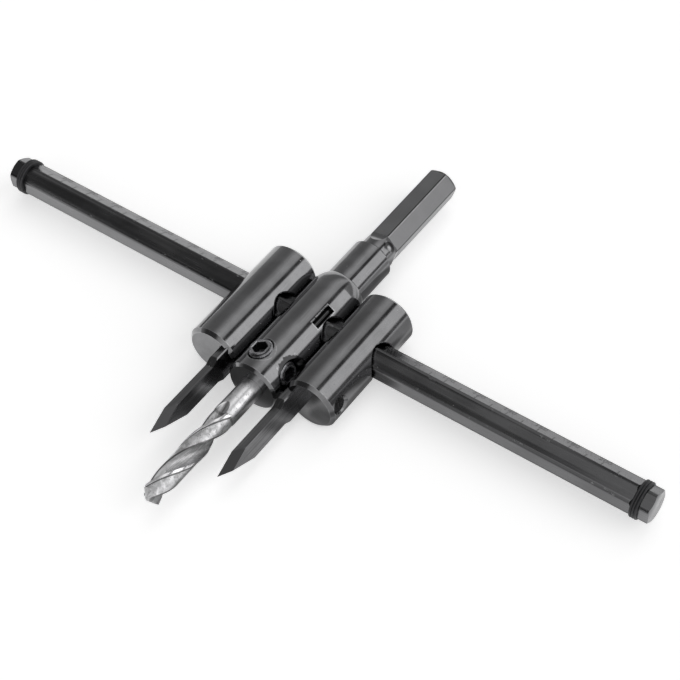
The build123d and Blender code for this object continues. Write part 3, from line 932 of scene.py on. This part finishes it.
class CIRCLECUTTER_OT_set_screws(bpy.types.Operator):
    """Make the seven set screws with their threads and sockets"""

    bl_idname = "circle_cutter.set_screws"
    bl_label = "Set Screws"

    def execute(self, context):
        sizes = context.scene.circle_cutter_screws
        steel = screw_steel("screw steel", context.scene.circle_cutter_colours.screw)
        for nodes, pitch, key in (
            (large_screws, sizes.large_pitch, sizes.large_key),
            (small_screws, sizes.small_pitch, sizes.small_key),
        ):
            for node in nodes:
                place, length, radius = screw_place(node)
                work = threaded_screw(length, radius, pitch, key, sizes.steps)
                work.transform(place)
                piece = add_piece(node + "_threaded", work, steel, node, radians(28))
                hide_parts(node)
        return {"FINISHED"}


class CIRCLECUTTER_OT_tapped_threads(bpy.types.Operator):
    """Cut the threads that show in the holders' tapped holes"""

    bl_idname = "circle_cutter.tapped_threads"
    bl_label = "Tapped Threads"

    def execute(self, context):
        sizes = context.scene.circle_cutter_screws
        # The tapped threads are the turned steel darkened to a fifth, as painted shade inside the holes
        steel = screw_steel("tapped steel", scaled(context.scene.circle_cutter_colours.turned, 0.2))
        for side in holder_axes:
            for kind, pitch, clearance, depth in (
                ("bar_screw", sizes.large_pitch, 0.06 * mm, 3.35 * mm),
                ("cutter_screw", sizes.small_pitch, 0.05 * mm, 2.75 * mm),
            ):
                place, length, radius = screw_place(side + "_" + kind)
                gap = 0.1 * mm
                work = tapped_thread(length + gap, length + depth, radius + clearance, pitch, sizes.steps)
                work.transform(place)
                add_piece(side + "_" + kind + "_hole_thread", work, steel, side + "_holder")
        return {"FINISHED"}


class CIRCLECUTTER_OT_studio(bpy.types.Operator):
    """Set the floor, the light and the camera"""

    bl_idname = "circle_cutter.studio"
    bl_label = "Studio"

    def execute(self, context):
        sizes = context.scene.circle_cutter_studio
        self.lay_floor(sizes)
        self.light_world(context.scene)
        self.place_camera(context.scene, sizes)
        context.scene.view_settings.view_transform = "Standard"
        return {"FINISHED"}

    def lay_floor(self, sizes):
        work = bmesh.new()
        place = Matrix.Translation((0, 0, floor_height - 0.02 * mm))
        bmesh.ops.create_grid(work, x_segments=1, y_segments=1, size=sizes.floor_size / 2, matrix=place)
        mesh = bpy.data.meshes.new("floor")
        work.to_mesh(mesh)
        work.free()
        floor = bpy.data.objects.new("floor", mesh)
        bpy.context.scene.collection.objects.link(floor)
        mesh.materials.append(floor_paper("floor paper"))

    def light_world(self, scene):
        world = bpy.data.worlds.new("studio light")
        scene.world = world
        shading = Shading(world)
        direction = shading.node("TexCoord", output="Generated")
        x, y, z = shading.split(direction)
        turn = z.math("ARCTAN2", x) / pi

        # Light panels and dark gaps by the direction round the tool's axis, from +X over the top
        behind = shading.node("ValToRGB", {"stops": (
            (0.0, 0.13), (0.06, 0.13), (0.085, 0.97), (0.318, 0.97), (0.335, 0.07), (0.4, 0.07), (0.417, 0.5),
            (0.47, 0.58), (0.53, 0.6), (0.6, 0.4), (0.655, 0.25), (0.7, 0.2), (0.83, 0.2), (0.93, 0.26),
            (1.0, 0.34))}, {"Fac": turn})
        before = shading.node("ValToRGB", {"stops": (
            (0.0, 0.55), (0.3, 0.6), (0.5, 0.45), (0.567, 0.36), (0.611, 0.2), (0.625, 0.053), (0.9, 0.053),
            (1.0, 0.3))}, {"Fac": turn})
        beyond_lamp = turn.band(0.07, 0.33, 0.02) * y.step(0.55, 0.6)
        behind = shading.mix(beyond_lamp * 0.85, behind, (0.16, 0.16, 0.16))
        panels = shading.mix(y.step(-0.15, 0.1), before, behind)
        backdrop = (1 - z.step(0.12, 0.2)) * y.step(0.55, 0.75)
        lit = shading.mix(backdrop, panels, (0.75, 0.75, 0.75))
        camera_ray = shading.node("LightPath", output="Is Camera Ray")
        light = shading.node("Background", inputs={"Color": lit, "Strength": 1.5})
        white = shading.node("Background", inputs={"Color": (1.0, 1.0, 1.0, 1.0), "Strength": 1.0})
        shown = shading.node("MixShader", inputs={0: camera_ray, 1: light, 2: white})
        shading.node("OutputWorld", inputs={"Surface": shown})

    def place_camera(self, scene, sizes):
        azimuth, elevation, roll = sizes.azimuth, sizes.elevation, sizes.roll
        right = Vector((cos(azimuth), sin(azimuth), 0))
        up = Vector((-sin(azimuth) * sin(elevation), cos(azimuth) * sin(elevation), cos(elevation)))
        back = Vector((sin(azimuth) * cos(elevation), -cos(azimuth) * cos(elevation), sin(elevation)))
        turned_right = right * cos(roll) + up * sin(roll)
        turned_up = up * cos(roll) - right * sin(roll)
        data = bpy.data.cameras.new("camera")
        data.sensor_width = 36
        data.sensor_fit = "HORIZONTAL"
        data.lens = sizes.lens
        data.clip_start = 0.01
        camera = bpy.data.objects.new("camera", data)
        scene.collection.objects.link(camera)
        turn = Matrix((turned_right, turned_up, back)).transposed().to_4x4()
        position = back * sizes.distance + turned_right * sizes.shift_right + turned_up * sizes.shift_up
        camera.matrix_world = Matrix.Translation(position) @ turn
        scene.camera = camera


operators = (
    CIRCLECUTTER_OT_studio, CIRCLECUTTER_OT_hub, CIRCLECUTTER_OT_holders, CIRCLECUTTER_OT_crossbar,
    CIRCLECUTTER_OT_scale, CIRCLECUTTER_OT_stop_rings, CIRCLECUTTER_OT_cutters, CIRCLECUTTER_OT_pilot_drill,
    CIRCLECUTTER_OT_set_screws, CIRCLECUTTER_OT_tapped_threads,
)


class CIRCLECUTTER_PT_pieces(bpy.types.Panel):
    """Sidebar panel with the cutter's pieces and sizes"""

    bl_idname = "CIRCLECUTTER_PT_pieces"
    bl_label = "Circle Cutter"
    bl_space_type = "VIEW_3D"
    bl_region_type = "UI"
    bl_category = "Circle Cutter"

    def draw(self, context):
        for operator in operators:
            self.layout.operator(operator.bl_idname)
        for name in groups:
            box = self.layout.box()
            group = getattr(context.scene, name)
            for key in group.__annotations__:
                box.prop(group, key)


groups = {
    "circle_cutter_screws": ScrewSizes,
    "circle_cutter_scale": ScaleSizes,
    "circle_cutter_colours": SteelColours,
    "circle_cutter_studio": StudioSizes,
}


def register():
    for group in groups.values():
        bpy.utils.register_class(group)
    for operator in operators:
        bpy.utils.register_class(operator)
    bpy.utils.register_class(CIRCLECUTTER_PT_pieces)
    for name, group in groups.items():
        setattr(bpy.types.Scene, name, PointerProperty(type=group))


def unregister():
    for name in groups:
        delattr(bpy.types.Scene, name)
    bpy.utils.unregister_class(CIRCLECUTTER_PT_pieces)
    for operator in reversed(operators):
        bpy.utils.unregister_class(operator)
    for group in reversed(groups.values()):
        bpy.utils.unregister_class(group)


def main():
    register()
    for operator in operators:
        family, name = operator.bl_idname.split(".")
        getattr(getattr(bpy.ops, family), name)()
    bpy.context.view_layer.update()


if __name__ == "__main__":
    main()
